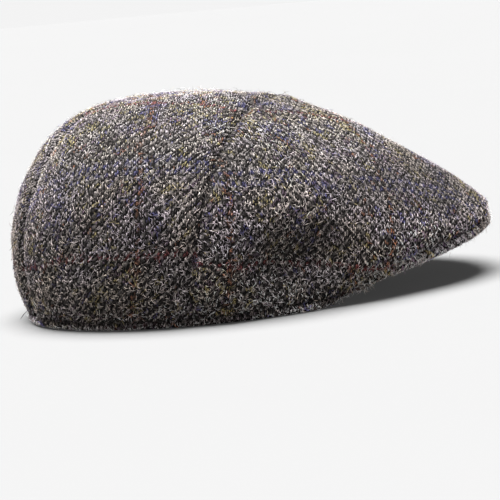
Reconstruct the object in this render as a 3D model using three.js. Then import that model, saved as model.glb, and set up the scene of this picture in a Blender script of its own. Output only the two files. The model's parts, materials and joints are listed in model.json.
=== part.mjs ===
import * as THREE from "three";

// Sizes in millimetres, angles in degrees; front is -Y, the wearer's right is -X, the floor is Z = 0
const WALL = 2.0;
const GAP = 0.35;
const CROWN_HEIGHT = 115.5;
const OPENING = { along: 106, side: 84 };
const APEX_ALONG = 45;
const APEX_RADIUS = 3;
const SIDE_SEAM = 132;
const SEAM_SWEEP = 6;
const HEM = { height: 3.6, width: 3.2, proud: 0.5 };
const PEAK = { plate: 2.6, bead: 2.6, half: 57 };
const CREASE = { depth: 0.6, reach: 3.5 };
const VALLEY = { depth: 1.6, reach: 15 };
const TUCK = 4;
const ROWS = 24;
const HEM_STEPS = 88;
const PEAK_STEPS = 44;

// Crown outline by direction round the head opening, from the front (turn 0) to the back (turn 180)
// peak: reach past the opening; over: swell past the lower edge; low: underside of the edge;
// brow: underside of the hem; roll: depth of hem or peak edge; wide: height of the widest line;
// round and crest: shape of the dome
const OUTLINE = [
  { turn: 0, peak: 51, over: 0.5, low: 27.2, brow: 17, roll: 5.4, wide: 38.2, round: 1.74, crest: 1.06 },
  { turn: 12, peak: 49, over: 0.6, low: 25.8, brow: 16.4, roll: 5.4, wide: 36.6, round: 1.76, crest: 1.09 },
  { turn: 24, peak: 38, over: 1.2, low: 21.4, brow: 14.6, roll: 5.2, wide: 32.2, round: 1.8, crest: 1.18 },
  { turn: 36, peak: 23, over: 3.4, low: 16.4, brow: 12.2, roll: 5, wide: 28.5, round: 1.85, crest: 1.33 },
  { turn: 48, peak: 10.6, over: 6.4, low: 11.8, brow: 9.4, roll: 4.6, wide: 28, round: 1.9, crest: 1.5 },
  { turn: 58, peak: 2.6, over: 8.5, low: 6.2, brow: 5.6, roll: 4, wide: 30, round: 1.93, crest: 1.66 },
  { turn: 66, peak: 0, over: 9, low: 1.9, brow: 1.9, roll: 3.6, wide: 33, round: 1.95, crest: 1.78 },
  { turn: 73, peak: 0, over: 9, low: 0, brow: 0, roll: 3.6, wide: 34.5, round: 1.96, crest: 1.85 },
  { turn: 90, peak: 0, over: 8.5, low: 0, brow: 0, roll: 3.6, wide: 37, round: 1.99, crest: 1.99 },
  { turn: 120, peak: 0, over: 8.6, low: 0, brow: 0, roll: 3.6, wide: 38, round: 2.15, crest: 2.15 },
  { turn: 150, peak: 0, over: 7.4, low: 0.4, brow: 0.4, roll: 3.6, wide: 37, round: 2.35, crest: 2.35 },
  { turn: 180, peak: 0, over: 6, low: 0.6, brow: 0.6, roll: 3.6, wide: 34, round: 2.5, crest: 2.5 },
];

// Soft dents (depth above 0) and swellings (below 0) of the crown
const DENTS = [
  { name: "right temple hollow", along: 12, side: 92, height: 22, reach: 26, depth: 2.6 },
  { name: "left temple hollow", along: 10, side: -92, height: 24, reach: 28, depth: 2.2 },
  { name: "slack of the upper back", along: -100, side: 0, height: 84, reach: 30, depth: 3.2 },
  { name: "ridge behind the top", along: -70, side: 0, height: 110, reach: 34, depth: -5.6 },
  { name: "front slope", along: 104, side: 0, height: 76, reach: 38, depth: 4.4 },
];

const rad = THREE.MathUtils.degToRad;
const deg = THREE.MathUtils.radToDeg;

// Smooth value of a column of the outline at any direction
function outline(column, turn) {
  const at = Math.min(Math.abs(turn), 180);
  const slopes = [];
  for (let i = 0; i + 1 < OUTLINE.length; i++) {
    slopes.push((OUTLINE[i + 1][column] - OUTLINE[i][column]) / (OUTLINE[i + 1].turn - OUTLINE[i].turn));
  }
  const tangent = (i) => {
    const before = slopes[i - 1];
    const after = slopes[i];
    if (before === undefined || after === undefined || before * after <= 0) {
      return 0;
    }
    return (2 * before * after) / (before + after);
  };
  let i = 0;
  while (i + 2 < OUTLINE.length && at > OUTLINE[i + 1].turn) {
    i++;
  }
  const span = OUTLINE[i + 1].turn - OUTLINE[i].turn;
  const u = (at - OUTLINE[i].turn) / span;
  const rise = OUTLINE[i + 1][column] - OUTLINE[i][column];
  const a = tangent(i) * span;
  const b = tangent(i + 1) * span;
  return OUTLINE[i][column] + a * u + (3 * rise - 2 * a - b) * u * u + (a + b - 2 * rise) * u * u * u;
}

// Outer radius of the head opening, of the crown's lower edge and of its widest line
function openingRadius(turn) {
  return 1 / Math.hypot(Math.cos(rad(turn)) / OPENING.along, Math.sin(rad(turn)) / OPENING.side);
}

function edgeRadius(turn) {
  return openingRadius(turn) + outline("peak", turn);
}

function wideRadius(turn) {
  return edgeRadius(turn) + outline("over", turn);
}

function edgeHeight(turn) {
  return outline("low", turn) + outline("roll", turn) + GAP;
}

// A place given along (to the front), to the side (wearer's right) and up, in the part's frame
function place(along, side, up) {
  return new THREE.Vector3(-side, -along, up);
}

// A straight line from the apex, moved aside by shift, and how far it runs to the widest line
function rayFromApex(turn, shift) {
  const way = new THREE.Vector2(Math.cos(rad(turn)), Math.sin(rad(turn)));
  const start = new THREE.Vector2(APEX_ALONG - way.y * shift, way.x * shift);
  let near = 0;
  let far = 260;
  for (let i = 0; i < 40; i++) {
    const run = (near + far) / 2;
    const along = start.x + way.x * run;
    const side = start.y + way.y * run;
    if (Math.hypot(along, side) < wideRadius(deg(Math.atan2(side, along)))) {
      near = run;
    } else {
      far = run;
    }
  }
  return { way, start, reach: near };
}

// The side seams bend backwards on their way down, and the lines beside them follow
function sweep(turn, stage) {
  const signed = THREE.MathUtils.euclideanModulo(turn + 180, 360) - 180;
  const size = Math.abs(signed);
  const ahead = THREE.MathUtils.smoothstep(size, 50, SIDE_SEAM);
  const share = size < SIDE_SEAM ? ahead : (180 - size) / (180 - SIDE_SEAM);
  return Math.sign(signed) * SEAM_SWEEP * share * THREE.MathUtils.smoothstep(stage, 0.4, 1.5);
}

// How far a line has run out from the apex
function runOf(line, stage) {
  const ray = rayFromApex(line.turn + sweep(line.turn, stage), line.shift);
  return { ray, run: ray.reach * Math.sin(rad(90 * Math.min(stage, 1))) };
}

// Smooth crown on a line: stage 0 to 1 runs to the widest line, 1 to 2 on to the lower edge
function smoothCrown(line, stage) {
  const { ray, run } = runOf(line, stage);
  const along = ray.start.x + ray.way.x * run;
  const side = ray.start.y + ray.way.y * run;
  const turn = deg(Math.atan2(side, along));
  const wide = outline("wide", turn);
  if (stage <= 1) {
    const share = Math.min(Math.hypot(along, side) / wideRadius(turn), 1);
    const bend = Math.max(1 - Math.pow(share, outline("round", turn)), 0);
    const up = wide + (CROWN_HEIGHT - wide) * Math.pow(bend, 1 / outline("crest", turn));
    return place(along, side, up);
  }
  const down = stage - 1;
  const radius = wideRadius(turn) + (edgeRadius(turn) - wideRadius(turn)) * down ** TUCK;
  const up = wide + (edgeHeight(turn) - wide) * down;
  return place(radius * Math.cos(rad(turn)), radius * Math.sin(rad(turn)), up);
}

// Seam creases, soft valleys beside them, and dents, measured outwards and settling at the lower edge
function relief(turn, run, stage, point) {
  let out = 0;
  const fade = THREE.MathUtils.smoothstep(run, 6, 26);
  for (const seam of [180, SIDE_SEAM, -SIDE_SEAM]) {
    const apart = Math.abs(THREE.MathUtils.euclideanModulo(turn - seam + 180, 360) - 180);
    const away = apart < 90 ? run * Math.sin(rad(apart)) : run;
    out -= fade * CREASE.depth * Math.exp(-((away / CREASE.reach) ** 2));
    out -= fade * VALLEY.depth * Math.exp(-((away / VALLEY.reach) ** 2));
  }
  for (const dent of DENTS) {
    const far = point.distanceTo(place(dent.along, dent.side, dent.height));
    out -= dent.depth * Math.exp(-((far / dent.reach) ** 2));
  }
  return out * (1 - THREE.MathUtils.smoothstep(stage, 1.5, 2));
}

// Outward direction of the smooth crown
function crownNormal(line, stage) {
  const low = Math.max(stage - 0.004, 0.004);
  const high = Math.min(stage + 0.004, 2);
  const down = smoothCrown(line, high).sub(smoothCrown(line, low));
  const left = smoothCrown({ turn: line.turn - 0.4, shift: 0 }, stage);
  const right = smoothCrown({ turn: line.turn + 0.4, shift: 0 }, stage);
  return right.sub(left).cross(down).normalize();
}

// Stages that split a line into even lengths
function evenStages(line, first, count) {
  const fine = 160;
  const stages = [];
  const lengths = [0];
  for (let i = 0; i <= fine; i++) {
    stages.push(first + ((2 - first) * i) / fine);
  }
  for (let i = 1; i <= fine; i++) {
    const step = smoothCrown(line, stages[i]).distanceTo(smoothCrown(line, stages[i - 1]));
    lengths.push(lengths[i - 1] + step);
  }
  const even = [];
  let k = 0;
  for (let i = 0; i <= count; i++) {
    const wanted = (lengths[fine] * i) / count;
    while (k + 1 < fine && lengths[k + 1] < wanted) {
      k++;
    }
    const share = (wanted - lengths[k]) / (lengths[k + 1] - lengths[k]);
    even.push(stages[k] + share * (stages[k + 1] - stages[k]));
  }
  return even;
}

// One column of finished outer points and their normals
function crownColumn(turn, shift) {
  const line = { turn, shift };
  const first = deg(Math.asin(APEX_RADIUS / runOf(line, 1).run)) / 90;
  return evenStages(line, first, ROWS).map((stage) => {
    const normal = crownNormal(line, stage);
    const point = smoothCrown(line, stage);
    point.addScaledVector(normal, relief(turn, runOf(line, stage).run, stage, point));
    return { point, normal };
  });
}

// A wall of even thickness behind an open outer surface
function wallOf(spots, faces) {
  const count = spots.length;
  const points = spots.map((spot) => spot.point);
  spots.forEach((spot) => points.push(spot.point.clone().addScaledVector(spot.normal, -WALL)));
  const used = new Map();
  const triangles = [];
  for (const [a, b, c] of faces) {
    triangles.push([a, b, c], [count + a, count + c, count + b]);
    used.set(a + "," + b, [a, b]);
    used.set(b + "," + c, [b, c]);
    used.set(c + "," + a, [c, a]);
  }
  for (const [a, b] of used.values()) {
    if (!used.has(b + "," + a)) {
      triangles.push([b, a, count + a], [b, count + a, count + b]);
    }
  }
  return geometryOf(points, triangles);
}

function geometryOf(points, triangles) {
  const geometry = new THREE.BufferGeometry();
  geometry.setAttribute("position", new THREE.Float32BufferAttribute(points.flatMap((p) => p.toArray()), 3));
  geometry.setIndex(triangles.flat());
  return geometry;
}

// Directions from one seam to the next, closer together beside the seams
function directions(from, to, plain) {
  const beside = [0, 1.4, 3.2, 5.6, 8.8];
  const list = beside.map((step) => from + step);
  const inner = to - from - 2 * beside[beside.length - 1];
  for (let i = 1; i < plain; i++) {
    list.push(from + beside[beside.length - 1] + (inner * i) / plain);
  }
  return list.concat(beside.map((step) => to - step).reverse());
}

// Outer points and faces of the panel between two seams
function panelSurface(from, to, plain) {
  const turns = directions(from, to, plain);
  const last = turns.length - 1;
  const shiftAt = (i) => (i === 0 ? GAP / 2 : i === last ? -GAP / 2 : 0);
  const columns = turns.map((turn, i) => crownColumn(turn, shiftAt(i)));
  const spots = columns.flat();
  const faces = [];
  const at = (column, row) => column * (ROWS + 1) + row;
  for (let c = 0; c < last; c++) {
    for (let r = 0; r < ROWS; r++) {
      faces.push([at(c, r), at(c + 1, r + 1), at(c, r + 1)]);
      faces.push([at(c, r), at(c + 1, r), at(c + 1, r + 1)]);
    }
  }
  return { spots, faces, at, last };
}

function backPanel(from, to) {
  const { spots, faces } = panelSurface(from, to, 9);
  const middle = place(APEX_ALONG, 0, 0);
  for (const spot of spots) {
    const flat = new THREE.Vector3(spot.point.x - middle.x, spot.point.y - middle.y, 0);
    if (flat.length() < APEX_RADIUS + 0.5) {
      spot.point.addScaledVector(flat.normalize(), GAP);
    }
  }
  return wallOf(spots, faces);
}

// The front panel also closes the crown where the three seams meet
function frontPanel() {
  const { spots, faces, at, last } = panelSurface(-SIDE_SEAM, SIDE_SEAM, 42);
  const tip = spots.length;
  const line = { turn: 0, shift: 0 };
  const point = smoothCrown(line, 0);
  const normal = crownNormal(line, 0.004);
  point.addScaledVector(normal, relief(0, 0, 0, point));
  spots.push({ point, normal });
  for (let c = 0; c < last; c++) {
    faces.push([tip, at(c + 1, 0), at(c, 0)]);
  }
  const arc = [at(last, 0)];
  for (let i = 1; i < 6; i++) {
    const turn = SIDE_SEAM + ((360 - 2 * SIDE_SEAM) * i) / 6;
    arc.push(spots.length);
    spots.push(crownColumn(turn, 0)[0]);
  }
  arc.push(at(0, 0));
  for (let i = 0; i + 1 < arc.length; i++) {
    faces.push([tip, arc[i + 1], arc[i]]);
  }
  return wallOf(spots, faces);
}

// A solid through closed sections, joined end to end or closed by its two ends
function loft(sections, ring) {
  const size = sections[0].length;
  const points = sections.flat();
  const triangles = [];
  const steps = ring ? sections.length : sections.length - 1;
  for (let i = 0; i < steps; i++) {
    const next = (i + 1) % sections.length;
    for (let j = 0; j < size; j++) {
      const k = (j + 1) % size;
      triangles.push([i * size + j, i * size + k, next * size + k]);
      triangles.push([i * size + j, next * size + k, next * size + j]);
    }
  }
  if (!ring) {
    const ends = [0, sections.length - 1];
    for (const end of ends) {
      const middle = points.length;
      const sum = sections[end].reduce((total, p) => total.add(p), new THREE.Vector3());
      points.push(sum.divideScalar(size));
      for (let j = 0; j < size; j++) {
        const pair = [end * size + j, end * size + ((j + 1) % size)];
        triangles.push(end === 0 ? [middle, pair[1], pair[0]] : [middle, pair[0], pair[1]]);
      }
    }
  }
  return geometryOf(points, triangles);
}

// A section point at a direction round the opening, from its radius and height
function onRay(turn, radius, up) {
  return place(radius * Math.cos(rad(turn)), radius * Math.sin(rad(turn)), up);
}

// Narrow turned edge round the whole head opening, flat underneath
function hem() {
  const sections = [];
  for (let i = 0; i < HEM_STEPS; i++) {
    const turn = (360 * i) / HEM_STEPS - 180;
    const outer = openingRadius(turn) + HEM.proud;
    const inner = outer - HEM.width;
    const low = outline("brow", turn);
    const top = low + HEM.height;
    sections.push([
      onRay(turn, inner, low),
      onRay(turn, outer - 0.9, low),
      onRay(turn, outer - 0.2, low + 0.7),
      onRay(turn, outer, low + HEM.height / 2),
      onRay(turn, outer - 0.2, top - 0.7),
      onRay(turn, outer - 0.9, top),
      onRay(turn, inner, top),
    ]);
  }
  return loft(sections, true);
}

// Peak: a thin plate ahead of the opening with a thicker rounded edge under the crown's lower edge
function peak() {
  const sections = [];
  for (let i = 0; i <= PEAK_STEPS; i++) {
    const turn = -PEAK.half + (2 * PEAK.half * i) / PEAK_STEPS;
    const inner = openingRadius(turn) + HEM.proud + GAP;
    const outer = edgeRadius(turn) + 0.4;
    const width = outer - inner;
    const bead = Math.min(PEAK.bead, width * 0.3);
    const inside = outline("brow", turn) + 0.5;
    const outside = outline("low", turn);
    const roll = outline("roll", turn);
    const under = (x) => inside + ((outside - inside) * x) / width;
    const section = [];
    for (const share of [0, 0.34, 0.67, 1]) {
      section.push(onRay(turn, inner + share * (width - bead), under(share * (width - bead))));
    }
    for (const angle of [-60, -30, 0, 30, 60]) {
      const x = width - bead + bead * Math.cos(rad(angle));
      section.push(onRay(turn, inner + x, outside + (roll / 2) * (1 + Math.sin(rad(angle)))));
    }
    section.push(onRay(turn, outer - bead, outside + roll));
    section.push(onRay(turn, outer - 2.2 * bead, outside + roll));
    const shelf = width - 3 * bead;
    section.push(onRay(turn, inner + shelf, under(shelf) + PEAK.plate));
    section.push(onRay(turn, inner + shelf / 2, under(shelf / 2) + PEAK.plate));
    section.push(onRay(turn, inner, inside + PEAK.plate));
    sections.push(section);
  }
  return loft(sections, false);
}

// Pieces, with the origin on the floor under the middle of the whole cap
const tweed = { roughness: 0.95, metalness: 0 };
const pieces = [
  { name: "front_panel", geometry: frontPanel(), colour: 0x77716c },
  { name: "back_panel_right", geometry: backPanel(SIDE_SEAM, 180), colour: 0x6f6964 },
  { name: "back_panel_left", geometry: backPanel(180, 360 - SIDE_SEAM), colour: 0x6f6964 },
  { name: "peak", geometry: peak(), colour: 0x68625d },
  { name: "hem", geometry: hem(), colour: 0x5d5752 },
];
const cap = new THREE.Group();
cap.name = "flat_cap";
for (const { name, geometry, colour } of pieces) {
  const mesh = new THREE.Mesh(geometry, new THREE.MeshStandardMaterial({ color: colour, ...tweed }));
  mesh.name = name;
  cap.add(mesh);
}
const middle = new THREE.Box3().setFromObject(cap).getCenter(new THREE.Vector3());
cap.children.forEach((mesh) => mesh.geometry.translate(-middle.x, -middle.y, 0));

export default cap;
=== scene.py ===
import json
import math
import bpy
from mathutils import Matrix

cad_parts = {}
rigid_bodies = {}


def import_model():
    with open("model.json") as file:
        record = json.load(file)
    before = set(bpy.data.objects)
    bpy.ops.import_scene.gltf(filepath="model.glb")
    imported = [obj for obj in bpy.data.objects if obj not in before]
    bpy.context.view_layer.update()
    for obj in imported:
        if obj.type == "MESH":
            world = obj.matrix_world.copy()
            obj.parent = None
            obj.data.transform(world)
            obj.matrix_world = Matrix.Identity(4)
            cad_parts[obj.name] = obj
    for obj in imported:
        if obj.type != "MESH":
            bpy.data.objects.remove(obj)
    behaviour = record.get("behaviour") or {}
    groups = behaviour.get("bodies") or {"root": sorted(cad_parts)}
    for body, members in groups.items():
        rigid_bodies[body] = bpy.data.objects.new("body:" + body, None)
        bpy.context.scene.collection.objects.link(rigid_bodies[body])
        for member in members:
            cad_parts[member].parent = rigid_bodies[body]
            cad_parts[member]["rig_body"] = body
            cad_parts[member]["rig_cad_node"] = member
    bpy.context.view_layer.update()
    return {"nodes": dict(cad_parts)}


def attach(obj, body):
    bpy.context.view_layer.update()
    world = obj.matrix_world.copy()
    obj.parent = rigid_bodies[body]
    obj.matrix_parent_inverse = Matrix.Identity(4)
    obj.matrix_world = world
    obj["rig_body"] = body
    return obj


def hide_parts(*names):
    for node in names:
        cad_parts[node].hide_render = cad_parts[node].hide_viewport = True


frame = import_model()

from types import SimpleNamespace

import bpy
import numpy as np
from bpy.props import FloatProperty, FloatVectorProperty, IntProperty, PointerProperty
from mathutils import Matrix, Vector, noise
from mathutils.bvhtree import BVHTree
from mathutils.kdtree import KDTree

bl_info = {
    "name": "Tweed Flat Cap",
    "version": (1, 0, 0),
    "blender": (4, 5, 0),
    "location": "View3D > Sidebar > Flat Cap",
    "description": "Dresses the packed flat cap in hairy checked tweed and sets it on a pale floor",
    "category": "Object",
}

HEAD_CENTRE = Vector((0.0001, 0.0235))  # middle of the head opening
HEAD_RADIUS = 0.095
CLOTH_MAP = "cloth"  # the pieces' UV layer, in metres of cloth

SEWN = 0.0012  # vertices of two panels nearer than this lie on their seam
SEAM_CENTRE = 0.035  # height of the point that seams draw in to
HOLLOW_CENTRE = 0.045  # height of the point that hollows are pressed in to
HEM_ZONE = 0.02  # height up to which the cloth is near the hem
HEM_LINE = 0.0028  # reach of the painted shade line where panels and hem meet
FLAT_SLOPE = 0.75  # a face whose normal points up or down this much lies flat
SUNK = 0.0002  # how deep in the cloth fibres start, and their least height over the floor
BRIGHTEST = 0.9  # most light that a fibre gives back
WANDER = {"scale": 110.0, "reach": 0.0024}  # how the threads wander: bends in a metre, and how far
EDGE_SWELL = {"peak": 1.0, "hem": 0.8}  # swell of the edges, as a share of the panels'
EDGE_FIBRES = {"peak": 0.45, "hem": 0.7}  # how thick the fibres stand there, as a share of the panels'

# The grain of each panel: where two check lines cross, the run of the weft there, the numbers of that warp
# and weft, how the grain turns below it in radians a metre, the lean of the strands from the weft in degrees,
# how far each float's second strand is set along in wefts, and the share of fibres on faces that lie flat.
GRAIN = {
    "front_panel": {
        "at": (-0.0772, -0.0039, 0.0717),
        "weft": (0.0051, -0.0246, -0.0050),
        "threads": (18.0, 0.0),
        "turn": 0.0,
        "lean": 100.0,
        "step": 0.4,
        "flat_share": 1.0,
    },
    "back_panel_right": {
        "at": (-0.0592, 0.0822, 0.0867),
        "weft": (-0.0108, -0.0190, 0.0006),
        "threads": (0.0, 0.0),
        "turn": 3.2,
        "lean": 95.0,
        "step": -0.5,
        "flat_share": 1.0,
    },
    "back_panel_left": {
        "at": (0.0592, 0.0822, 0.0867),
        "weft": (-0.0108, 0.0190, -0.0006),
        "threads": (0.0, 0.0),
        "turn": -3.2,
        "lean": 85.0,
        "step": 0.5,
        "flat_share": 1.0,
    },
}
EDGE_GRAIN = {"lean": 90.0, "step": 0.5, "flat_share": 0.12}

# Soft hollows pressed into the crown: middle, reach along each axis and depth.
HOLLOWS = (
    ((-0.088, 0.012, 0.027), (0.034, 0.042, 0.029), 0.0080),
    ((0.088, 0.012, 0.027), (0.034, 0.042, 0.029), 0.0070),
    ((-0.056, 0.041, 0.096), (0.014, 0.010, 0.014), 0.0008),
    ((0.056, 0.041, 0.096), (0.014, 0.010, 0.014), 0.0008),
)

# Loose ends of sewing thread at the back: root, middle and tip.
THREAD_ENDS = (
    ((-0.0015, 0.1325, 0.0105), (-0.0006, 0.1368, 0.0068), (-0.0001, 0.1389, 0.0041)),
    ((-0.0256, 0.1235, 0.0025), (-0.0272, 0.1275, 0.0016), (-0.0300, 0.1312, 0.0005)),
)

# Chance that a fibre is of the light yarn: even and odd warps, even and odd wefts, loose hairs and the mean.
PALE_WARP = (0.92, 0.60)
PALE_WEFT = (0.34, 0.18)
PALE_HAIR = 0.74
PALE_MEAN = 0.51

# Flecks carded into the yarns: dye, the seed of its patches and about its share where it is thickest.
FLECKS = (("yellow", 5.0, 0.26), ("blue", 6.0, 0.22), ("orange", 7.0, 0.07), ("plum", 9.0, 0.20))

# Drift of the wool's colour: over broad patches, in lilac patches, and low on the cap.
BROAD_DRIFT = np.array((0.12, 0.06, -0.20))
LILAC_DRIFT = np.array((-0.03, -0.05, 0.12))
LOW_DRIFT = np.array((0.025, -0.025, -0.02))


def size_setting(name, default, description):
    """A length in metres for the sidebar."""
    return FloatProperty(name=name, description=description, default=default, unit="LENGTH")


def number_setting(name, default, description):
    """A plain number for the sidebar."""
    return FloatProperty(name=name, description=description, default=default)


def count_setting(name, default, description):
    """A whole number for the sidebar."""
    return IntProperty(name=name, description=description, default=default)


def angle_setting(name, degrees, description):
    """An angle for the sidebar."""
    return FloatProperty(name=name, description=description, default=math.radians(degrees), unit="ROTATION")


def colour_setting(name, default, description):
    """A colour for the sidebar."""
    return FloatVectorProperty(name=name, description=description, subtype="COLOR", default=default)


class CapClothSizes(bpy.types.PropertyGroup):
    """Sizes of the cloth and of the hair on it"""

    warp_pitch: size_setting("Warp pitch", 0.00262, "Distance from one warp yarn to the next")
    weft_pitch: size_setting("Weft pitch", 0.00295, "Distance from one weft yarn to the next")
    yarn_lean: number_setting(
        "Yarn lean", 0.12, "How far the twist leans each yarn over its height, in yarn pitches"
    )
    check_warps: count_setting("Check width", 18, "Warp yarns from one check line to the next")
    check_wefts: count_setting("Check height", 17, "Weft yarns from one check line to the next")
    yarn_relief: size_setting("Yarn relief", 0.0005, "How far a yarn stands out of the cloth")
    swell: size_setting("Swell", 0.00045, "How far the cloth is fattened so that sewn edges meet")
    tuck: size_setting("Tuck", 0.0014, "How far the panels' lower edges reach down into the hem")
    seam_depth: size_setting("Seam depth", 0.0021, "How far the cloth draws in along a seam")
    seam_ridge: size_setting(
        "Seam ridge", 0.0007, "How far the front panel stands up beside its seam at the top"
    )
    seam_width: size_setting("Seam width", 0.0024, "How far from a seam the cloth draws in")
    slack: size_setting("Slack", 0.0007, "Depth of the soft unevenness of the cloth")
    float_length: size_setting("Float length", 0.0021, "Length of the fibres in one float of the weave")
    float_lift: size_setting("Float lift", 0.00055, "Height of a float's middle over the cloth")
    hair_length: size_setting("Hair length", 0.0033, "Mean length of a loose wool hair")
    fibre_radius: size_setting("Fibre radius", 0.000145, "Radius of a fibre at its middle")
    thread_radius: size_setting("Thread radius", 0.00025, "Radius of the sewing thread")
    fibres_per_cm2: number_setting("Fibres", 142.0, "Fibres on each square centimetre")
    fibres_a_piece: count_setting("Fibres a piece", 32000, "Most fibres joined in one mesh")
    seed: count_setting("Seed", 41, "Seed of the cloth's slack and the fibres' places")


class CapColours(bpy.types.PropertyGroup):
    """Colours of the yarns"""

    light_low: colour_setting("Light yarn, dull", (0.185, 0.162, 0.152), "Duller end of the light yarn")
    light_high: colour_setting("Light yarn, bright", (0.815, 0.742, 0.697), "Brighter end of the light yarn")
    dark_low: colour_setting("Dark yarn, deep", (0.007, 0.0058, 0.0052), "Deeper end of the dark yarn")
    dark_high: colour_setting("Dark yarn, raised", (0.085, 0.069, 0.064), "Lighter end of the dark yarn")
    gap: colour_setting("Gap", (0.008, 0.0065, 0.006), "Shadowed wool between the yarns")
    orange: colour_setting("Orange line", (0.270, 0.115, 0.060), "Orange check yarn")
    red: colour_setting("Red line", (0.235, 0.056, 0.056), "Red check yarn")
    blue: colour_setting("Blue line", (0.092, 0.087, 0.210), "Blue check yarn")
    yellow: colour_setting("Yellow line", (0.330, 0.282, 0.125), "Yellow check yarn")
    plum: colour_setting("Plum fleck", (0.170, 0.120, 0.165), "Plum wool carded into the yarns")
    # Painted light: how much lighter the hem, the peak and the panels beside them are made.
    painted_edge_light: number_setting("Painted edge light", 2.5, "How much lighter the rubbed hem and peak edge are")


class CapStage(bpy.types.PropertyGroup):
    """Floor, light and camera"""

    azimuth: angle_setting("Azimuth", -111.0, "Camera's turn round the cap")
    elevation: angle_setting("Elevation", 6.7, "Camera's height over the cap")
    roll: angle_setting("Roll", 5.0, "Camera's own tilt")
    distance: size_setting("Distance", 1.6, "Camera's distance from the middle of the cap")
    span: size_setting("Span", 0.275, "Width of the picture at the cap")
    drop: size_setting("Drop", 0.0308, "How far below the middle of the cap the camera aims")
    key: number_setting("Key light", 14.4, "Strength of the soft light overhead")
    fill: number_setting("Fill light", 0.10, "Strength of the light all round")
    lift: number_setting(
        "Shadow lift", 0.035, "Faint glow of the floor that keeps its shadow from going black"
    )
    floor: colour_setting("Floor", (0.188, 0.188, 0.188), "Colour of the floor")


def settings():
    """The sidebar's values: cloth sizes, colours and stage."""
    scene = bpy.context.scene
    return scene.cap_cloth, scene.cap_colours, scene.cap_stage


def only(obj):
    """Selects this object alone and makes it active."""
    if bpy.context.object and bpy.context.object.mode != "OBJECT":
        bpy.ops.object.mode_set(mode="OBJECT")
    bpy.ops.object.select_all(action="DESELECT")
    obj.select_set(True)
    bpy.context.view_layer.objects.active = obj


def ramp(values, start, span):
    """0 at the start and 1 a span further on, which may be downwards, and even between them."""
    return np.clip((values - start) / span, 0, 1)


def column(values):
    """Values as a column, to go with rows of points or colours."""
    return np.asarray(values)[:, None]


def cloth_copy(node, name):
    """A copy of a node with its triangles merged into quads, ready to be shaped."""
    only(frame["nodes"][node])
    bpy.ops.object.duplicate()
    obj = bpy.context.object
    obj.name = obj.data.name = name
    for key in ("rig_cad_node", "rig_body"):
        if key in obj:
            del obj[key]
    bpy.ops.object.parent_clear(type="CLEAR_KEEP_TRANSFORM")
    obj.data.materials.clear()
    bpy.ops.object.mode_set(mode="EDIT")
    bpy.ops.mesh.select_all(action="SELECT")
    bpy.ops.mesh.remove_doubles(threshold=1e-5)
    bpy.ops.mesh.tris_convert_to_quads(face_threshold=math.radians(60), shape_threshold=math.radians(80))
    bpy.ops.mesh.customdata_custom_splitnormals_clear()
    bpy.ops.object.mode_set(mode="OBJECT")
    while obj.data.uv_layers:
        obj.data.uv_layers.remove(obj.data.uv_layers[0])
    obj.data.uv_layers.new(name=CLOTH_MAP)
    return obj


def islands(mesh):
    """The number of the patch between marked seams that each face belongs to."""
    seams = {e.key for e in mesh.edges if e.use_seam}
    beside = {}
    for p in mesh.polygons:
        for k in p.edge_keys:
            if k not in seams:
                beside.setdefault(k, []).append(p.index)
    number = np.full(len(mesh.polygons), -1)
    patch = 0
    for first in range(len(mesh.polygons)):
        if number[first] >= 0:
            continue
        number[first] = patch
        stack = [first]
        while stack:
            for k in mesh.polygons[stack.pop()].edge_keys:
                for other in beside.get(k, ()):
                    if number[other] < 0:
                        number[other] = patch
                        stack.append(other)
        patch += 1
    return number


def unwrap(obj):
    """Cuts the cloth along its sharp edges and lays it out flat with the least stretch."""
    only(obj)
    bpy.ops.object.mode_set(mode="EDIT")
    bpy.ops.mesh.select_mode(type="EDGE")
    bpy.ops.mesh.select_all(action="DESELECT")
    bpy.ops.mesh.edges_select_sharp(sharpness=math.radians(48))
    bpy.ops.mesh.mark_seam(clear=False)
    bpy.ops.mesh.select_mode(type="FACE")
    bpy.ops.mesh.select_all(action="SELECT")
    bpy.ops.uv.unwrap(method="MINIMUM_STRETCH", iterations=40)
    bpy.ops.object.mode_set(mode="OBJECT")


def loop_area(ring):
    """Signed area of a ring of flat points."""
    x, y = ring[:, 0], ring[:, 1]
    return 0.5 * float(np.dot(x, np.roll(y, -1)) - np.dot(y, np.roll(x, -1)))


def flatten_cloth(obj, grain, cloth):
    """Lays the cloth out flat in metres, with the outside's check lines where the grain says.

    The flat width, length and area of the outside are kept on the piece as its cut.
    """
    unwrap(obj)
    mesh = obj.data
    layer = mesh.uv_layers[CLOTH_MAP]
    uv = np.zeros(len(mesh.loops) * 2)
    layer.uv.foreach_get("vector", uv)
    uv = uv.reshape(-1, 2)
    number = islands(mesh)
    at = Vector(grain["at"])
    outward = at - Vector((0, at.y, 0.03))
    nearest = min(mesh.polygons, key=lambda p: (p.center - at).length - 0.05 * p.normal.dot(outward))
    for patch in range(number.max() + 1):
        faces = [mesh.polygons[k] for k in np.flatnonzero(number == patch)]
        loops = np.concatenate([np.arange(p.loop_start, p.loop_start + p.loop_total) for p in faces])
        flat = sum(abs(loop_area(uv[p.loop_start:p.loop_start + p.loop_total])) for p in faces)
        solid = sum(p.area for p in faces)
        uv[loops] = (uv[loops] - uv[loops].mean(0)) * math.sqrt(solid / max(flat, 1e-12))
        outside = number[nearest.index] == patch
        for p in faces:
            p.material_index = 0 if outside else 1
        if outside:
            turn_to_grain(mesh, uv, loops, grain, cloth)
            width, length = np.ptp(uv[loops], axis=0)
            obj["cut"] = [float(width), float(length), float(solid)]
    layer.uv.foreach_set("vector", uv.ravel())


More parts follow.
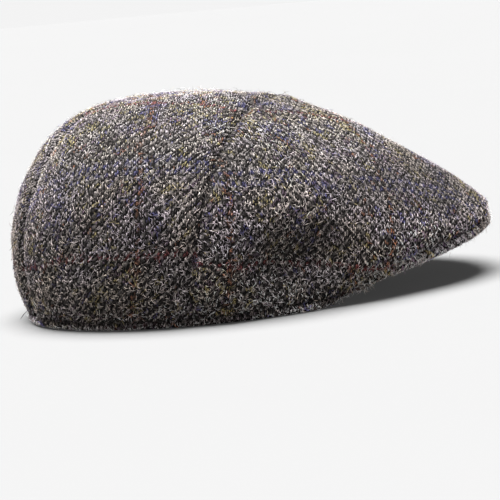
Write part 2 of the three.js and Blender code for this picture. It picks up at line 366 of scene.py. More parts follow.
def turn_to_grain(mesh, uv, loops, grain, cloth):
    """Turns and shifts a laid out patch to its grain.

    The weft runs along U, up the cap is +V, and the given crossing gets the given thread numbers.
    """
    at, threads = grain["at"], grain["threads"]
    place = np.array([mesh.vertices[mesh.loops[k].vertex_index].co for k in loops])
    near = np.argsort(np.linalg.norm(place - np.array(at), axis=1))[:120]
    spot, flat = place[near] - np.array(at), uv[loops][near]
    fit, *_ = np.linalg.lstsq(np.c_[spot, np.ones(len(spot))], flat, rcond=1e-4)
    along = np.array(grain["weft"]) @ fit[:3]
    up = np.array((0.0, 0.0, 1.0)) @ fit[:3]
    along /= np.linalg.norm(along)
    across = np.array((-along[1], along[0]))
    if across @ up < 0:
        along, across = -along, -across
    u, v = ((uv[loops] - fit[3]) @ np.c_[along, across]).T
    angle = -grain["turn"] * np.minimum(v, 0.0)
    turned = np.c_[u * np.cos(angle) - v * np.sin(angle), u * np.sin(angle) + v * np.cos(angle)]
    uv[loops] = turned + np.array((threads[0] * cloth.warp_pitch, threads[1] * cloth.weft_pitch))


def ring_cloth(obj):
    """Cloth coordinates of the hem and the peak: along the edge and up it, and flat on what lies flat."""
    mesh = obj.data
    layer = mesh.uv_layers[CLOTH_MAP]
    uv = np.zeros((len(mesh.loops), 2))
    for p in mesh.polygons:
        spots = [mesh.vertices[v].co for v in p.vertices]
        flat = abs(p.normal.z) > FLAT_SLOPE
        turns = [math.atan2(c.x - HEAD_CENTRE.x, HEAD_CENTRE.y - c.y) for c in spots]
        if max(turns) - min(turns) > math.pi:
            turns = [t + 2 * math.pi if t < 0 else t for t in turns]
        for k, c, t in zip(p.loop_indices, spots, turns):
            reach = math.hypot(c.x - HEAD_CENTRE.x, c.y - HEAD_CENTRE.y)
            uv[k] = (c.x, c.y) if flat else (t * HEAD_RADIUS, c.z + 0.5 * reach)
        p.material_index = 0
    layer.uv.foreach_set("vector", uv.ravel())


def round_off(obj):
    """Rounds the cut edges and smooths the cloth."""
    only(obj)
    mod = obj.modifiers.new("rounding", "SUBSURF")
    mod.levels = mod.render_levels = 2
    bpy.ops.object.modifier_apply(modifier=mod.name)


def fatten(obj, depth):
    """Swells the cloth a little, so that sewn edges meet in a groove."""
    only(obj)
    bpy.ops.object.mode_set(mode="EDIT")
    bpy.ops.mesh.select_all(action="SELECT")
    bpy.ops.transform.shrink_fatten(value=depth)
    bpy.ops.object.mode_set(mode="OBJECT")


def slacken(obj, depth):
    """Soft unevenness of hand-pressed wool, the same on both faces of the cloth and less near the floor."""
    for v in obj.data.vertices:
        broad = noise.noise_vector(v.co * 28.0)
        fine = noise.noise_vector(v.co * 90.0)
        low = min(1.0, v.co.z / 0.012)
        v.co += (broad * depth + fine * depth * 0.45) * low


def vertex_tree(obj):
    """A search tree of a piece's vertices."""
    tree = KDTree(len(obj.data.vertices))
    for v in obj.data.vertices:
        tree.insert(v.co, v.index)
    tree.balance()
    return tree


def surface_tree(obj):
    """A search tree of a piece's surface."""
    return BVHTree.FromPolygons([v.co for v in obj.data.vertices], [p.vertices for p in obj.data.polygons])


def inward_from(spot, height):
    """The way into the crown from a spot, level near the hem, so that the cloth stays on it."""
    way = Vector((0.0, min(max(spot.y, -0.02), 0.06), height)) - spot
    way.z *= min(1.0, spot.z / HEM_ZONE)
    return way.normalized()


def seam_line(panels):
    """A search tree of the points where two panels meet, and for each one whether it is on the back seam."""
    trees = {obj.name: vertex_tree(obj) for obj in panels}
    line = []
    for k, obj in enumerate(panels):
        for other in panels[k + 1:]:
            near = trees[other.name]
            line += [(v.co.copy(), k > 0) for v in obj.data.vertices if near.find(v.co)[2] < SEWN]
    tree = KDTree(len(line))
    for k, (spot, _) in enumerate(line):
        tree.insert(spot, k)
    tree.balance()
    return tree, [at_back for _, at_back in line]


def sew(panels, depth, width, ridge):
    """Draws the cloth in along the seams and keeps the depth of the groove at each point.

    The back seam fades towards the top and the side seams towards the hem. At the top the front panel,
    which is the first one, stands up beside them.
    """
    seam, at_back = seam_line(panels)
    for k, obj in enumerate(panels):
        groove = obj.data.attributes.new("groove", "FLOAT", "POINT")
        for v in obj.data.vertices:
            c, at, away = seam.find(v.co)
            if away > 5.0 * width:
                continue
            top = ramp(c.z, 0.050, 0.040)
            if at_back[at]:
                strength, reach = 1.3 - 1.2 * ramp(c.z, 0.045, 0.035), 1.3 * width
            else:
                strength, reach = 0.30 + 0.70 * top, width
            strength *= math.exp(-(away / reach) ** 2)
            raised = ridge * top * math.exp(-((away - 2.2 * width) / width) ** 2) if k == 0 else 0.0
            v.co += inward_from(v.co, SEAM_CENTRE) * float(depth * strength - raised)
            groove.data[v.index].value = strength


def hollow(panels, at, radius, depth):
    """Presses a soft hollow into the crown."""
    for obj in panels:
        for v in obj.data.vertices:
            share = 1.0 - sum(((c - m) / r) ** 2 for c, m, r in zip(v.co, at, radius))
            if share > 0:
                v.co += inward_from(v.co, HOLLOW_CENTRE) * depth * share * share


def paint_edge_light(obj, how):
    """Keeps how much painted light the cloth gets at each point, from 0 for none."""
    lightened = obj.data.attributes.new("lightened", "FLOAT", "POINT")
    for v in obj.data.vertices:
        lightened.data[v.index].value = how(v.co)


def finish_cloth(obj, node):
    """Gives a cloth piece its materials and its place on the cap."""
    for m in cloth_materials():
        obj.data.materials.append(m)
    only(obj)
    bpy.ops.object.shade_smooth()
    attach(obj, "root")
    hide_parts(node)


def finish_fibres(obj):
    """Gives a mesh of fibres its material and its place on the cap."""
    obj.data.materials.append(bpy.data.materials["wool_fibre"])
    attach(obj, "root")


def read(items, key, width=1, kind=np.float32):
    """One property of all items of a mesh, as an array."""
    data = np.zeros(len(items) * width, kind)
    items.foreach_get(key, data)
    return data.reshape(-1, width) if width > 1 else data


def unit(vectors):
    """Vectors drawn out or in to a length of 1."""
    return vectors / np.maximum(np.linalg.norm(vectors, axis=-1, keepdims=True), 1e-12)


def blend(low, high, share):
    """Colours between two colours, one for each share."""
    return np.array(low) + (np.array(high) - np.array(low)) * column(share)


def dice(i, j, salt):
    """A steady random value from 0 to 1 for each crossing of two threads."""
    value = np.sin(i * 12.9898 + j * 78.233 + salt * 37.719) * 43758.5453
    return value - np.floor(value)


def soft_noise(spots, scale, salt):
    """Smooth random values from 0 to 1 over flat spots."""
    cell = np.floor(spots * scale)
    share = spots * scale - cell
    share = share * share * (3 - 2 * share)
    (x, y), (s, t) = cell.T, share.T
    near = dice(x, y, salt) * (1 - s) + dice(x + 1, y, salt) * s
    far = dice(x, y + 1, salt) * (1 - s) + dice(x + 1, y + 1, salt) * s
    return near * (1 - t) + far * t


def unsettle(obj):
    """Makes the threads wander a little, as hand-woven ones do."""
    layer = obj.data.uv_layers[CLOTH_MAP].uv
    flat = read(layer, "vector", 2)
    drift = np.stack([soft_noise(flat, WANDER["scale"], salt) for salt in (11.0, 17.0)], 1) - 0.5
    layer.foreach_set("vector", (flat + drift * WANDER["reach"]).astype(np.float32).ravel())


def weave(flat, step, cloth):
    """The strand that shows at each spot of the cloth, two of them to a float.

    Gives its warp, weft and strand numbers, whether it is the warp's, and where on it the spot lies,
    in threads.
    """
    along = flat[:, 0] / cloth.warp_pitch
    strand = np.floor(2.0 * along + 1.0)
    i = np.floor(0.5 * strand)
    up = flat[:, 1] / cloth.weft_pitch + step * (strand % 2)
    j = np.floor(up + 0.5)
    is_warp = (i + j) % 2 == 0
    return SimpleNamespace(i=i, j=j, strand=strand, is_warp=is_warp, x=along + 0.25 - 0.5 * strand, y=up - j)


def scatter(obj, count, flat_share, rng):
    """Random spots on the outside of a piece, with only a share of them on faces that lie flat.

    Gives each one's place, outward normal, cloth coordinates, the run of the weft and of the warp,
    how deep in a seam it lies and how much painted light it gets.
    """
    mesh = obj.data
    mesh.calc_loop_triangles()
    tris = mesh.loop_triangles
    corners = read(tris, "vertices", 3, np.int32)
    place = read(mesh.vertices, "co", 3)[corners].astype(float)
    normal = read(mesh.vertex_normals, "vector", 3)[corners].astype(float)
    flat = read(mesh.uv_layers[CLOTH_MAP].uv, "vector", 2)[read(tris, "loops", 3, np.int32)].astype(float)
    face = read(mesh.polygons, "material_index", 1, np.int32)[read(tris, "polygon_index", 1, np.int32)]
    middle, facing = place.mean(1), normal.mean(1)
    core = [np.zeros(len(middle)), np.clip(middle[:, 1], -0.06, 0.07), np.full(len(middle), 0.03)]
    outward = (facing * (middle - np.stack(core, 1))).sum(1) > 0
    edges, threads = place[:, 1:] - place[:, :1], flat[:, 1:] - flat[:, :1]
    area = 0.5 * np.linalg.norm(np.cross(edges[:, 0], edges[:, 1]), axis=1)
    laid_out = np.abs(np.linalg.det(threads)) > 0.05 * area
    usable = (face == 0) & outward & (middle[:, 2] > 0.0006) & laid_out
    area = np.where(usable, area, 0.0) * np.where(np.abs(facing[:, 2]) > FLAT_SLOPE, flat_share, 1.0)

    pick = rng.choice(len(area), size=count, p=area / area.sum())
    s, t = np.sqrt(rng.random(count)), rng.random(count)
    share = np.stack([1 - s, s * (1 - t), s * t], 1)[:, :, None]
    run = np.linalg.solve(threads[pick], edges[pick])

    def kept(key):
        if key not in mesh.attributes:
            return np.zeros(count)
        return (read(mesh.attributes[key].data, "value")[corners[pick]] * share[:, :, 0]).sum(1)

    return SimpleNamespace(
        place=(place[pick] * share).sum(1),
        normal=unit((normal[pick] * share).sum(1)),
        flat=(flat[pick] * share).sum(1),
        weft=unit(run[:, 0]),
        warp=unit(run[:, 1]),
        groove=kept("groove"),
        lightened=kept("lightened"),
    )


def joined(places, trees):
    """How near each place lies to the pieces that its own is sewn to: 1 where they touch and 0 far off."""
    near = np.zeros(len(places))
    for k in np.flatnonzero(places[:, 2] < HEM_ZONE):
        for tree in trees:
            away = tree.find_nearest(places[k], HEM_LINE)[3]
            if away is not None:
                near[k] = max(near[k], 1.0 - away / HEM_LINE)
    return near


def wool_colours(flat, threads, hair, low, even, checks, rng):
    """The dyed wool of each fibre: light warp and dark weft, patches of other dyes, and the check lines.

    Where low is 1, light wool is rarer and stands out more, dark wool is darker and flecks are fewer, a
    painted shade low on the cap. Where even is 1, the yarns differ less and clump less.
    """
    cloth, colours, _ = settings()
    i, j, is_warp, count = threads.i, threads.j, threads.is_warp, len(flat)
    chance = np.where(is_warp, np.where(i % 2 == 0, *PALE_WARP), np.where(j % 2 == 0, *PALE_WEFT))
    chance = (PALE_MEAN + (chance - PALE_MEAN) * (1.0 - 0.4 * even)) * (1.0 - 0.62 * low)
    chance += 0.6 * (1.0 - even) * (dice(threads.strand, j, 2.0) - 0.5)
    patchy = 0.4 * (1.0 - even) * (soft_noise(flat, 150.0, 3.0) - 0.5)
    pale = rng.random(count) < np.where(hair, PALE_HAIR + 0.06 * low, chance) + patchy
    shade = rng.random(count) * np.where(pale, 1.0 + 0.65 * low, 1.0 - 0.65 * low)
    light = blend(colours.light_low, colours.light_high, shade)
    dark = blend(colours.dark_low, colours.dark_high, shade)
    tint = np.where(column(pale), light, dark)

    for dye, salt, most in FLECKS:
        patch = np.clip((soft_noise(flat, 130.0, salt) - 0.45) * 3.0, 0, 1)
        share = (1.15 if checks else 0.4) * most * patch * (1.0 - 0.5 * low)
        dyed = (dice(i, j, salt + 20.0) < share) & (rng.random(count) < 0.75)
        tint[dyed] = np.array(getattr(colours, dye)) * rng.uniform(0.4, 1.3, (count, 1))[dyed]
    tint *= 1.0 + column(soft_noise(flat, 70.0, 14.0) - 0.5) * BROAD_DRIFT
    lilac = np.clip(3.0 * soft_noise(flat, 85.0, 15.0) - 1.6, 0, 1) * (1.0 - 0.8 * low)
    tint *= 1.0 + column(lilac) * LILAC_DRIFT

    kept = rng.random(count) + 1.1 * np.clip(0.55 - soft_noise(flat, 90.0, 8.0), 0, 1)
    wide, tall = cloth.check_warps, cloth.check_wefts
    warp_at, weft_at = i % (2 * wide), j % (2 * tall)
    lines = (
        (is_warp & (warp_at == 0), 0.72, colours.orange),
        (is_warp & (warp_at == wide), 0.56, colours.blue),
        (is_warp & (i % wide == wide // 2), 0.35, colours.yellow),
        ((weft_at == 0) | (weft_at == 2 * tall - 2), np.where(is_warp, 0.20, 0.56), colours.blue),
        (weft_at == tall, np.where(is_warp, 0.22, 0.70), colours.red),
    )
    for on_line, share, dye in lines if checks else ():
        dyed = on_line & (kept < share)
        tint[dyed] = np.array(dye) * rng.uniform(0.35, 1.5, (count, 1))[dyed]
    return tint


def painted_shading(place, ahead):
    """How much painted shade lies on the wool at each place, and below 0 how much painted light."""
    y, z = place[:, 1], place[:, 2]
    # Painted shade in front at mid height and low at the back; painted light over the top, high on the sides
    # and low in front.
    temple = 0.34 * ahead * ramp(z + 0.5 * np.clip(-0.05 - y, 0, 0.05), 0.042, 0.015) * ramp(z, 0.082, -0.02)
    low_back = 0.30 * ramp(y, 0.05, 0.05) * ramp(z, 0.075, -0.03)
    top = (0.20 + 0.25 * ramp(y, 0.05, -0.01)) * ramp(z, 0.085, 0.012) * ramp(y, 0.0, 0.02)
    side = 0.24 * ramp(z, 0.062, 0.012) * ramp(z, 0.104, -0.01) * ramp(y, 0.03, -0.02) * ramp(y, -0.075, 0.02)
    low_front = 0.30 * ramp(z, 0.05, -0.01) * ramp(y, -0.03, -0.02) * ramp(y, -0.085, 0.01)
    return temple + low_back - top - side - low_front


def float_points(place, run, side, normal, is_warp, cloth, rng):
    """Root, middle and tip of fibres that arch over the cloth along a float."""
    count = len(place)
    half = column(0.5 * cloth.float_length * rng.uniform(0.8, 1.2, count))
    lift = column(cloth.float_lift * np.where(is_warp, 1.0, 0.55) * rng.uniform(0.4, 1.3, count))
    sway = column(rng.normal(0, 0.00012, count))
    root = place - run * half - normal * SUNK
    tip = place + run * half - normal * SUNK
    return root, place + normal * lift + side * sway, tip


def hair_points(place, run, side, normal, low, ahead, cloth, rng):
    """Root, middle and tip of loose hairs that curl over the cloth, shorter low down and flatter in front."""
    count = len(place)
    spread = np.clip(rng.lognormal(0.0, 0.40, count), 0.4, 1.9)
    length = column(cloth.hair_length * spread * (1.0 - 0.28 * low))
    upright = rng.random(count) < 0.18 * (1.0 - 0.6 * ahead)
    stand = column(np.where(upright, rng.uniform(0.25, 0.55, count), rng.uniform(0.08, 0.25, count)))
    curl = column(rng.normal(0, 0.32, count))
    rise = column(rng.uniform(0.5, 1.4, count))
    middle = place + length * (0.5 * run + normal * stand * 0.8)
    tip = place + length * (run * (1.0 - 0.35 * np.abs(curl)) + side * curl + normal * stand * rise)
    return place - normal * SUNK, middle, tip


def nap(obj, count, grain, checks, sewn_to, rng):
    """Wool fibres over the outside of a piece: their roots, middles and tips, radii and colours.

    Most lie in bundles along the strands of the weave. The others are loose hairs, more of them low down.
    """
    cloth, colours, _ = settings()
    spots = scatter(obj, count, grain["flat_share"], rng)
    groove = np.maximum(spots.groove, 1.45 * np.minimum(2.0 * joined(spots.place, sewn_to), 1.0))
    threads = weave(spots.flat, grain["step"], cloth)
    low = ramp(spots.place[:, 2], 0.085, -0.06) * np.maximum(ramp(spots.place[:, 1], -0.04, 0.06), 0.15)
    ahead = ramp(spots.place[:, 1], -0.005, -0.05)
    hair = rng.random(count) < (0.17 + 0.20 * low) * (1.0 - 0.8 * groove) * (1.0 - 0.4 * ahead)

    spread = 56.0 * (dice(threads.strand, threads.j, 1.0) - 0.5)
    lean = grain["lean"] - np.where(threads.is_warp, 0.0, 16.0) + spread
    lean = np.radians(lean + rng.normal(0, 1, count) * (9.0 + 20.0 * low))
    lean = np.where(hair, rng.uniform(0, 2 * math.pi, count), lean)
    c, s, x, y = np.cos(lean), np.sin(lean), threads.x, threads.y
    along, across = 0.56 * (x * c + y * s), 0.36 * (y * c - x * s)
    over = column((along * c - across * s - x) * cloth.warp_pitch)
    up = column((along * s + across * c - y) * cloth.weft_pitch)
    place = spots.place + np.where(column(hair), 0.0, spots.weft * over + spots.warp * up)
    run = unit(spots.weft * column(c) + spots.warp * column(s))
    side = np.cross(spots.normal, run)

    bundled = float_points(place, run, side, spots.normal, threads.is_warp, cloth, rng)
    loose = hair_points(place, run, side, spots.normal, low, ahead, cloth, rng)
    points = [np.where(column(hair), a, b) for a, b in zip(loose, bundled)]
    for p in points:
        p[:, 2] = np.maximum(p[:, 2], SUNK)
    stout = np.where(hair, 0.64 + 0.28 * low, 1.0 + 0.05 * low)
    radius = cloth.fibre_radius * rng.uniform(0.6, 1.3, count) * stout

    # Painted shade low on the cap, less of it where painted light is put on the edges.
    dark = low * (1.0 - 0.6 * np.minimum(spots.lightened, 1.0))
    even = np.maximum(0.5 * low, 0.6 * ahead)
    tint = wool_colours(spots.flat, threads, hair, dark, even, checks, rng)
    # Painted shade in the seam grooves and where panels meet the hem, painted shade and light by place, a
    # little painted shade low down, and painted light along the edges.
    painted_light_and_shade = np.maximum(1.0 - 0.55 * groove, 0.2) * (1.0 - painted_shading(place, ahead)) * (1.0 - 0.04 * low)
    painted_light_and_shade *= 1.0 + (colours.painted_edge_light - 1.0) * spots.lightened
    warm = 1.0 + column(ramp(place[:, 2], 0.09, -0.03)) * LOW_DRIFT
    return points, radius, np.minimum(tint * warm * column(painted_light_and_shade), BRIGHTEST)


def fibre_mesh(name, points, radius, tint):
    """Slim closed spindles, one for each fibre, joined in one mesh that carries their colours."""
    root, middle, tip = points
    count = len(root)
    ahead = unit(tip - root)
    u = unit(np.cross(ahead, np.where(np.abs(ahead[:, 2:]) < 0.9, (0.0, 0.0, 1.0), (1.0, 0.0, 0.0))))
    w = np.cross(ahead, u)
    turns = (0.0, 2 * math.pi / 3, 4 * math.pi / 3)
    ring = [middle + column(radius) * (u * math.cos(turn) + w * math.sin(turn)) for turn in turns]
    verts = np.stack([root, *ring, tip], 1)
    one = [face for k in range(3) for face in ((1 + k, 1 + (k + 1) % 3, 4), (1 + (k + 1) % 3, 1 + k, 0))]
    faces = (np.array(one)[None] + 5 * np.arange(count)[:, None, None]).reshape(-1, 3)
    mesh = bpy.data.meshes.new(name)
    mesh.vertices.add(5 * count)
    mesh.vertices.foreach_set("co", verts.astype(np.float32).ravel())
    mesh.loops.add(faces.size)
    mesh.loops.foreach_set("vertex_index", faces.astype(np.int32).ravel())
    mesh.polygons.add(len(faces))
    mesh.polygons.foreach_set("loop_start", np.arange(0, faces.size, 3, dtype=np.int32))
    mesh.update(calc_edges=True)
    mesh.shade_smooth()
    colour = mesh.attributes.new("tint", "FLOAT_COLOR", "POINT")
    shown = np.repeat(np.c_[tint, np.ones(count)], 5, axis=0)
    colour.data.foreach_set("color", shown.astype(np.float32).ravel())
    obj = bpy.data.objects.new(name, mesh)
    bpy.context.scene.collection.objects.link(obj)
    return obj


class Shader:
    """Short calls for a material's nodes."""

    def __init__(self, name):
        self.material = bpy.data.materials.new(name)
        self.material.use_nodes = True
        self.tree = self.material.node_tree
        self.tree.nodes.clear()

    def put(self, socket, value):
        """Links a socket to another one, or gives it a value."""
        if isinstance(value, bpy.types.NodeSocket):
            self.tree.links.new(value, socket)
        else:
            socket.default_value = value

    def node(self, kind, inputs=None, **settings):
        """A new node with these inputs and settings."""
        n = self.tree.nodes.new(kind)
        for k, v in settings.items():
            setattr(n, k, v)
        for k, v in (inputs or {}).items():
            self.put(n.inputs[k], v)
        return n

    def math(self, how, a, b=0.0):
        """The outcome of a calculation with one or two values."""
        return self.node("ShaderNodeMath", {0: a, 1: b}, operation=how).outputs[0]

    def mix(self, factor, a, b):
        """A colour between two colours."""
        inputs = {0: factor, 6: a, 7: b}
        return self.node("ShaderNodeMix", inputs, data_type="RGBA", clamp_factor=True).outputs[2]

    def scaled(self, colour, by):
        """A colour made brighter or darker."""
        return self.node("ShaderNodeVectorMath", {0: colour, "Scale": by}, operation="SCALE").outputs[0]

    def grade(self, value, low, high, to_low=0.0, to_high=1.0, how="LINEAR"):
        """A value carried over from one range to another."""
        inputs = {0: value, 1: low, 2: high, 3: to_low, 4: to_high}
        return self.node("ShaderNodeMapRange", inputs, interpolation_type=how).outputs[0]

    def noise(self, vector, scale, **inputs):
        """A soft noise."""
        return self.node("ShaderNodeTexNoise", {"Vector": vector, "Scale": scale, **inputs}).outputs[0]

    def finish(self, inputs):
        """Ends the material with a surface that has these inputs."""
        surface = self.node("ShaderNodeBsdfPrincipled", inputs)
        self.node("ShaderNodeOutputMaterial", {"Surface": surface.outputs[0]})
        return self.material


def rgba(c):
    """A colour with full opacity."""
    return (c[0], c[1], c[2], 1.0)


def tweed(name, checks):
    """Woven wool under the nap, on the piece's own cloth coordinates.

    Floats of light warp and dark weft lean with their twist, and fine check lines run through them.
    """
    cloth, colours, _ = settings()
    s = Shader(name)
    flat = s.node("ShaderNodeUVMap", uv_map=CLOTH_MAP).outputs[0]
    split = s.node("ShaderNodeSeparateXYZ", {0: flat})
    a = s.math("DIVIDE", split.outputs[0], cloth.warp_pitch)
    b = s.math("DIVIDE", split.outputs[1], cloth.weft_pitch)
    j = s.math("FLOOR", s.math("ADD", b, 0.5))
    y = s.math("SUBTRACT", b, j)
    a = s.math("SUBTRACT", a, s.math("MULTIPLY", y, cloth.yarn_lean))
    i = s.math("FLOOR", s.math("ADD", a, 0.5))
    x = s.math("SUBTRACT", a, i)
    odd = s.math("FLOORED_MODULO", s.math("ADD", i, j), 2.0)
    crossing = s.node("ShaderNodeCombineXYZ", {0: i, 1: j}).outputs[0]
    roll = s.node("ShaderNodeTexWhiteNoise", {"Vector": crossing}, noise_dimensions="3D").outputs["Color"]
    shade = s.node("ShaderNodeSeparateColor", {0: roll}).outputs[0]
    c, n = math.cos(math.radians(60)), math.sin(math.radians(60))
    along = s.math("ADD", s.math("MULTIPLY", x, c), s.math("MULTIPLY", y, n))
    across = s.math("SUBTRACT", s.math("MULTIPLY", y, c), s.math("MULTIPLY", x, n))
    squares = [s.math("POWER", s.math("DIVIDE", *part), 2.0) for part in ((along, 0.55), (across, 0.34))]
    seed = s.grade(s.math("SQRT", s.math("ADD", *squares)), 1.4, 0.3, how="SMOOTHSTEP")

    turned = s.node("ShaderNodeMapping", {0: flat, "Rotation": (0.0, 0.0, -1.0)}).outputs[0]
    drawn = s.node("ShaderNodeMapping", {0: turned, "Scale": (480.0, 1500.0, 1.0)}).outputs[0]
    strand = s.noise(drawn, 1.0, Detail=2.0, Roughness=0.65)

    light = s.mix(shade, rgba(colours.light_low), rgba(colours.light_high))
    dark = s.mix(shade, rgba(colours.dark_low), rgba(colours.dark_high))
    if checks:
        wide, tall = cloth.check_warps, cloth.check_wefts
        warp_at = s.math("FLOORED_MODULO", i, 2.0 * wide)
        weft_at = s.math("FLOORED_MODULO", j, 2.0 * tall)

        def on(where, thread):
            inputs = {0: where, 1: float(thread), 2: 0.5}
            return s.node("ShaderNodeMath", inputs, operation="COMPARE").outputs[0]

        light = s.mix(s.math("MULTIPLY", on(warp_at, 0), 0.7), light, rgba(colours.orange))
        light = s.mix(s.math("MULTIPLY", on(warp_at, wide), 0.6), light, rgba(colours.blue))
        dark = s.mix(s.math("ADD", on(weft_at, 0), on(weft_at, tall * 2 - 2)), dark, rgba(colours.blue))
        dark = s.mix(s.math("MULTIPLY", on(weft_at, tall), 0.8), dark, rgba(colours.red))
    yarn = s.mix(seed, rgba(colours.gap), s.mix(odd, light, dark))
    height = s.math("ADD", seed, s.math("MULTIPLY", strand, 0.8))
    bump = s.node("ShaderNodeBump", {"Strength": 1.0, "Distance": cloth.yarn_relief, "Height": height})
    # The woven colour is scaled to between 0.05 and 0.34 of itself: painted shade of the nap over the cloth,
    # uneven along the strands.
    return s.finish({
        "Base Color": s.scaled(yarn, s.grade(strand, 0.30, 0.70, 0.05, 0.34)),
        "Roughness": s.grade(strand, 0.2, 0.8, 0.84, 1.0),
        "Normal": bump.outputs[0],
        "Specular IOR Level": 0.15,
    })


def wool_fibre():
    """Wool fibres, each in its own colour, paler and darker along its length."""
    s = Shader("wool_fibre")
    tint = s.node("ShaderNodeVertexColor", layer_name="tint").outputs[0]
    streak = s.noise(s.node("ShaderNodeTexCoord").outputs["Object"], 900.0, Detail=1.0)
    return s.finish({
        "Base Color": s.scaled(tint, s.grade(streak, 0.25, 0.75, 0.7, 1.3)),
        "Roughness": s.grade(streak, 0.2, 0.8, 0.42, 0.72),
        "Specular IOR Level": 0.45,
    })


def floor_paint(stage):
    """Pale paint with a faint glow."""
    s = Shader("floor")
    grain = s.noise(s.node("ShaderNodeTexCoord").outputs["Object"], 3.0)
    return s.finish({
        "Base Color": s.mix(grain, rgba(stage.floor), rgba([c * 0.985 for c in stage.floor])),
        "Roughness": 0.9,
        "Specular IOR Level": 0.1,
        "Emission Color": (1.0, 1.0, 1.0, 1.0),
        "Emission Strength": stage.lift,
    })


def cloth_materials():
    """The tweed's outside and its back. They and the fibres' wool are made once."""
    if "tweed_face" not in bpy.data.materials:
        tweed("tweed_face", checks=True)
        tweed("tweed_back", checks=False)
        wool_fibre()
    return [bpy.data.materials[name] for name in ("tweed_face", "tweed_back")]


class CAP_OT_panels(bpy.types.Operator):
    """Make the three sewn panels of the crown"""

    bl_idname = "cap.panels"
    bl_label = "Crown panels"

    def execute(self, context):
        cloth, _, _ = settings()
        panels = []
        for node in GRAIN:
            obj = cloth_copy(node, node + "_cloth")
            flatten_cloth(obj, GRAIN[node], cloth)
            round_off(obj)
            unsettle(obj)
            fatten(obj, cloth.swell)
            panels.append(obj)
        sew(panels, cloth.seam_depth, cloth.seam_width, cloth.seam_ridge)
        for at, radius, depth in HOLLOWS:
            hollow(panels, at, radius, depth)
        noise.seed_set(cloth.seed)
        for node, obj in zip(GRAIN, panels):
            slacken(obj, cloth.slack)
            finish_cloth(obj, node)
        return {"FINISHED"}


class CAP_OT_edges(bpy.types.Operator):
    """Make the covered peak and the turned hem, and fit the panels to them"""

    bl_idname = "cap.edges"
    bl_label = "Peak and hem"

    def execute(self, context):
        cloth, _, _ = settings()
        for node, swell in EDGE_SWELL.items():
            obj = cloth_copy(node, node + "_cloth")
            ring_cloth(obj)
            round_off(obj)
            unsettle(obj)
            fatten(obj, cloth.swell * swell)
            finish_cloth(obj, node)
        peak, hem = bpy.data.objects["peak_cloth"], bpy.data.objects["hem_cloth"]
        by_hem = vertex_tree(hem)
        for v in peak.data.vertices:
            v.co += v.normal * (2.0 * cloth.swell * max(0.0, 1.0 - by_hem.find(v.co)[2] / 0.025))
        by_peak = vertex_tree(peak)

        def behind(c):
            return float(ramp(c.y, -0.02, 0.06))

        def beside(c):
            by_edge = math.exp(-(by_peak.find(c)[2] / 0.009) ** 2)
            return 0.7 * by_edge + 0.7 * behind(c) * math.exp(-(by_hem.find(c)[2] / 0.008) ** 2)

        # Painted light on the peak, on the hem, more at the back, and on the panels near the peak and, at the
        # back, near the hem.
        paint_edge_light(peak, lambda c: 0.5)
        paint_edge_light(hem, lambda c: 1.0 + behind(c))
        for node in GRAIN:
            panel = bpy.data.objects[node + "_cloth"]
            for v in panel.data.vertices:
                v.co.z -= cloth.tuck * math.exp(-(by_hem.find(v.co)[2] / 0.003) ** 2)
            paint_edge_light(panel, beside)
        return {"FINISHED"}


class CAP_OT_nap(bpy.types.Operator):
    """Cover the cloth with wool fibres and add the loose ends of thread"""

    bl_idname = "cap.nap"
    bl_label = "Wool nap"

    def execute(self, context):
        cloth, colours, _ = settings()
        rng = np.random.default_rng(cloth.seed)
        sewn_to = dict.fromkeys(GRAIN, [surface_tree(bpy.data.objects["hem_cloth"])])
        sewn_to["hem"] = [surface_tree(bpy.data.objects[node + "_cloth"]) for node in GRAIN]
        for part in (*GRAIN, "peak", "hem"):
            carrier = bpy.data.objects[part + "_cloth"]
            outside = sum(p.area for p in carrier.data.polygons if p.material_index == 0)
            count = int(outside * 1e4 * cloth.fibres_per_cm2 * EDGE_FIBRES.get(part, 1.0))
            lots = -(-count // cloth.fibres_a_piece)
            grain = GRAIN.get(part, EDGE_GRAIN)
            for lot in range(lots):
                fibres = nap(carrier, count // lots, grain, part in GRAIN, sewn_to.get(part, ()), rng)
                obj = fibre_mesh(part + "_nap%d" % (lot + 1), *fibres)
                finish_fibres(obj)
        ends = np.array(THREAD_ENDS).transpose(1, 0, 2)
        radius = np.full(len(THREAD_ENDS), cloth.thread_radius)
        tint = np.tile(colours.dark_low, (len(THREAD_ENDS), 1))
        finish_fibres(fibre_mesh("thread_ends", ends, radius, tint))
        return {"FINISHED"}


def make_floor(stage):
    """A round floor, with a rim that slopes up all round as a backdrop."""
    bpy.ops.object.select_all(action="DESELECT")
    below = (0.0, 0.0, -0.0006)
    bpy.ops.mesh.primitive_circle_add(
        vertices=96, radius=3.0, fill_type="NGON", calc_uvs=False, location=below
    )
    floor = bpy.context.object
    floor.name = "floor"
    bpy.ops.object.mode_set(mode="EDIT")
    bpy.ops.mesh.select_all(action="SELECT")
    bpy.ops.mesh.extrude_region_move(TRANSFORM_OT_translate={"value": (0.0, 0.0, 0.9)})
    bpy.ops.transform.resize(value=(2.2, 2.2, 1.0), center_override=(0.0, 0.0, 0.0))
    bpy.ops.mesh.delete(type="ONLY_FACE")
    bpy.ops.object.mode_set(mode="OBJECT")
    floor.data.materials.append(floor_paint(stage))


def make_light(stage, scene):
    """Soft light overhead and a little all round."""
    world = bpy.data.worlds.new("studio")
    scene.world = world
    world.use_nodes = True
    back = world.node_tree.nodes["Background"]
    back.inputs[0].default_value = (1.0, 0.99, 0.98, 1.0)
    back.inputs[1].default_value = stage.fill

    sun = bpy.data.lights.new("overhead", "SUN")
    sun.energy = stage.key
    sun.angle = math.radians(50)
    lamp = bpy.data.objects.new("overhead", sun)
    scene.collection.objects.link(lamp)
    lamp.rotation_mode = "QUATERNION"
    lamp.rotation_quaternion = Vector((-0.06, -0.09, -1.0)).to_track_quat("-Z", "Y")


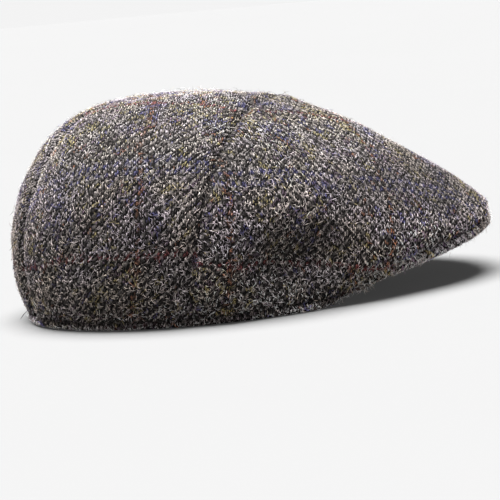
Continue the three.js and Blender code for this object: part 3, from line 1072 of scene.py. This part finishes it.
def make_camera(stage, scene):
    """A camera from the photo's side, rolled a little."""
    a, e = stage.azimuth, stage.elevation
    backward = Vector((math.sin(a) * math.cos(e), -math.cos(a) * math.cos(e), math.sin(e)))
    right = Vector((0, 0, 1)).cross(backward).normalized()
    up = backward.cross(right)
    tilted = right * math.sin(stage.roll) + up * math.cos(stage.roll)
    level = right * math.cos(stage.roll) - up * math.sin(stage.roll)
    middle = Vector((0.0, 0.0, 0.055))
    eye = middle + backward * stage.distance
    aim = middle - tilted * stage.drop - level * 0.0011
    z = (eye - aim).normalized()
    x = tilted.cross(z).normalized()
    y = z.cross(x)
    data = bpy.data.cameras.new("camera")
    data.sensor_width = 36.0
    data.lens = 36.0 * stage.distance / stage.span
    data.clip_start, data.clip_end = 0.05, 100.0
    cam = bpy.data.objects.new("camera", data)
    scene.collection.objects.link(cam)
    cam.matrix_world = Matrix.Translation(eye) @ Matrix((x, y, z)).transposed().to_4x4()
    scene.camera = cam
    scene.view_settings.view_transform = "Standard"


class CAP_OT_stage(bpy.types.Operator):
    """Set up the floor, the light and the camera"""

    bl_idname = "cap.stage"
    bl_label = "Stage"

    def execute(self, context):
        stage = settings()[2]
        make_floor(stage)
        make_light(stage, context.scene)
        make_camera(stage, context.scene)
        return {"FINISHED"}


class CAP_PT_panel(bpy.types.Panel):
    """Sidebar panel that lists the steps of the cap"""

    bl_idname = "CAP_PT_panel"
    bl_label = "Flat Cap"
    bl_space_type = "VIEW_3D"
    bl_region_type = "UI"
    bl_category = "Flat Cap"

    def draw(self, context):
        for op in OPERATORS:
            self.layout.operator(op.bl_idname)
        for group in settings():
            box = self.layout.box()
            for key in group.__annotations__:
                box.prop(group, key)


OPERATORS = (CAP_OT_panels, CAP_OT_edges, CAP_OT_nap, CAP_OT_stage)
CLASSES = (CapClothSizes, CapColours, CapStage, *OPERATORS, CAP_PT_panel)


def register():
    for c in CLASSES:
        bpy.utils.register_class(c)
    bpy.types.Scene.cap_cloth = PointerProperty(type=CapClothSizes)
    bpy.types.Scene.cap_colours = PointerProperty(type=CapColours)
    bpy.types.Scene.cap_stage = PointerProperty(type=CapStage)


def unregister():
    for name in ("cap_cloth", "cap_colours", "cap_stage"):
        delattr(bpy.types.Scene, name)
    for c in reversed(CLASSES):
        bpy.utils.unregister_class(c)


def main():
    register()
    bpy.ops.cap.panels()
    bpy.ops.cap.edges()
    bpy.ops.cap.nap()
    bpy.ops.cap.stage()
    bpy.context.view_layer.update()


if __name__ == "__main__":
    main()
